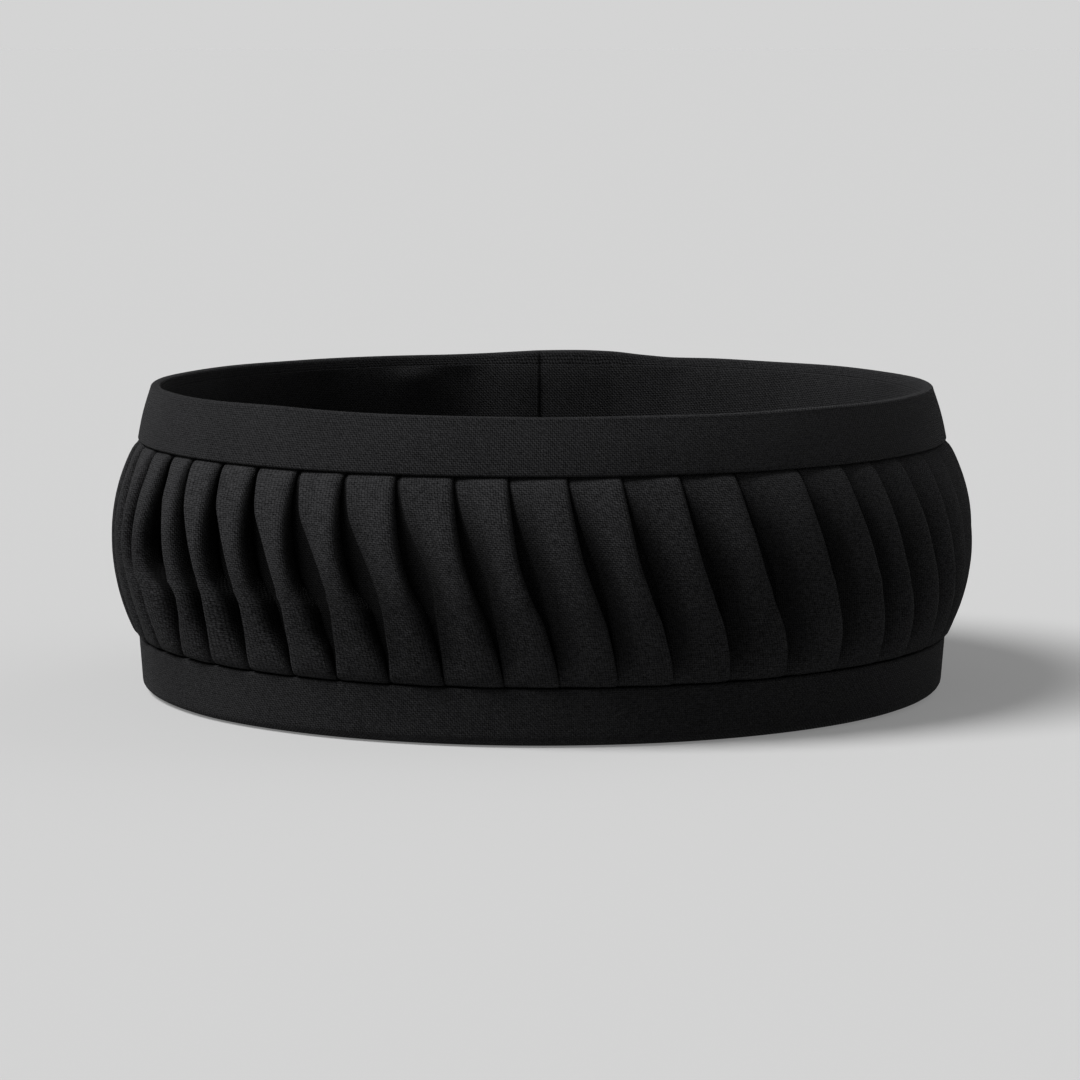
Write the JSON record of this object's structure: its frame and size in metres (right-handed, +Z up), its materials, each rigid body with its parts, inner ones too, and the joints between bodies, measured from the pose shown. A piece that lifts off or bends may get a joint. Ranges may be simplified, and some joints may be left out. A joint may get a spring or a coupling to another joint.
{
  "type": "round pleated cap",
  "caption": "Low round cloth cap lying on its flat crown with its mouth up: a knife-pleated barrel side between a plain mouth band and a plain crown band, with a lining.",
  "frame": {"origin": "middle of the crown's underside, where the cap lies on a surface", "axes": "+Z up out of the mouth, -Y towards the front of the picture, +X to its right"},
  "size_m": [0.2038, 0.2036, 0.072],
  "materials": {
    "band_cloth": "matt black plain-weave cloth",
    "pleat_cloth": "matt black plain-weave cloth, pleated",
    "crown_cloth": "matt black plain-weave cloth",
    "lining_cloth": "matt black plain-weave cloth"
  },
  "bodies": {
    "root": {"mouth_band": "band_cloth", "pleated_side": "pleat_cloth", "crown_band": "band_cloth", "crown_panel": "crown_cloth", "lining": "lining_cloth"}
  },
  "joints": []
}
